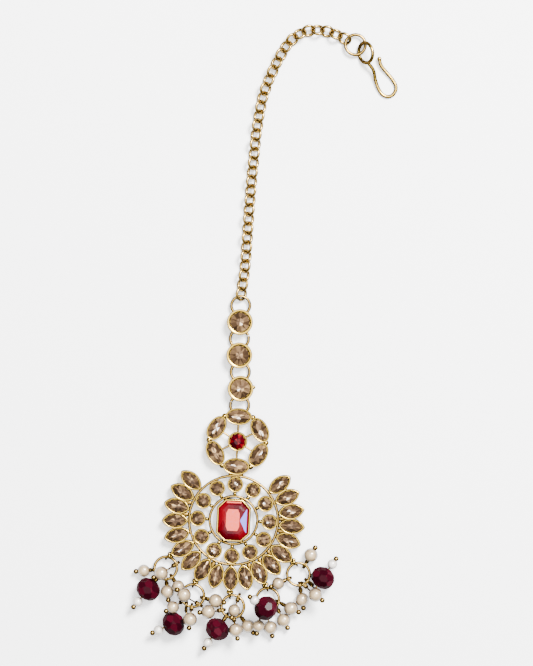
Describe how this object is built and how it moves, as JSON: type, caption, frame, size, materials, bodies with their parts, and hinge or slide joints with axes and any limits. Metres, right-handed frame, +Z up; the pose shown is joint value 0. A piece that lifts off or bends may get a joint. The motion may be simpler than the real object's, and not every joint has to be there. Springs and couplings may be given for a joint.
{
  "type": "maang tikka",
  "caption": "Gold-tone maang tikka: two stone medallions, round stone collets, a rolo chain with a hair hook, and a fringe of pearl and dark red bead drops, lying flat.",
  "frame": {"origin": "centre of the closed flat back of the large medallion's centre setting, on the floor plane", "axes": "+Z up out of the medallion's front, +Y from the large medallion along the small medallion and the collets towards the hook, +X to the right as seen from the front"},
  "size_m": [0.0648, 0.1704, 0.0107],
  "materials": {
    "antique_gold": "gold tone, darkened in the recesses, satin to polished",
    "champagne_stone": "polished foil-backed cut glass",
    "red_stone": "polished foil-backed cut glass",
    "dark_bead": "polished faceted dark red bead",
    "cream_pearl": "cream pearl with a soft sheen, on gold-tone wire",
    "white_pearl": "small white pearl on a gold-tone head pin"
  },
  "bodies": {
    "root": {"hook": "antique_gold", "hook_ring": "antique_gold", "chain": "antique_gold", "chain_ring": "antique_gold", "collet_1": "antique_gold", "collet_2": "antique_gold", "collet_3": "antique_gold", "collet_stone_1": "champagne_stone", "collet_stone_2": "champagne_stone", "collet_stone_3": "champagne_stone", "collet_ring_1": "antique_gold", "collet_ring_2": "antique_gold", "collet_ring_3": "antique_gold", "pendant_frame": "antique_gold", "oval_stone_1": "champagne_stone", "oval_stone_2": "champagne_stone", "oval_stone_3": "champagne_stone", "oval_stone_4": "champagne_stone", "oval_stone_5": "champagne_stone", "oval_stone_6": "champagne_stone", "small_red_stone": "red_stone", "centre_stone": "red_stone", "drop_ring_1": "antique_gold", "drop_ring_2": "antique_gold", "drop_ring_3": "antique_gold", "drop_ring_4": "antique_gold", "drop_ring_5": "antique_gold", "pearl_drop_1": "cream_pearl", "pearl_drop_2": "cream_pearl", "pearl_drop_3": "cream_pearl", "pearl_drop_4": "cream_pearl", "pearl_drop_5": "cream_pearl", "pearl_drop_6": "cream_pearl", "pearl_drop_7": "cream_pearl", "pearl_drop_8": "cream_pearl", "pearl_drop_9": "cream_pearl", "pearl_drop_10": "cream_pearl", "pearl_drop_11": "cream_pearl", "pearl_drop_12": "cream_pearl", "pearl_drop_13": "cream_pearl", "pearl_drop_14": "cream_pearl", "pearl_drop_15": "cream_pearl", "pearl_drop_16": "cream_pearl", "pearl_drop_17": "cream_pearl", "pearl_drop_18": "cream_pearl", "pearl_drop_19": "cream_pearl", "pearl_drop_20": "cream_pearl", "garnet_bead_1": "dark_bead", "garnet_bead_2": "dark_bead", "garnet_bead_3": "dark_bead", "garnet_bead_4": "dark_bead", "garnet_bead_5": "dark_bead", "garnet_pin_1": "white_pearl", "garnet_pin_2": "white_pearl", "garnet_pin_3": "white_pearl", "garnet_pin_4": "white_pearl", "garnet_pin_5": "white_pearl"}
  },
  "joints": []
}
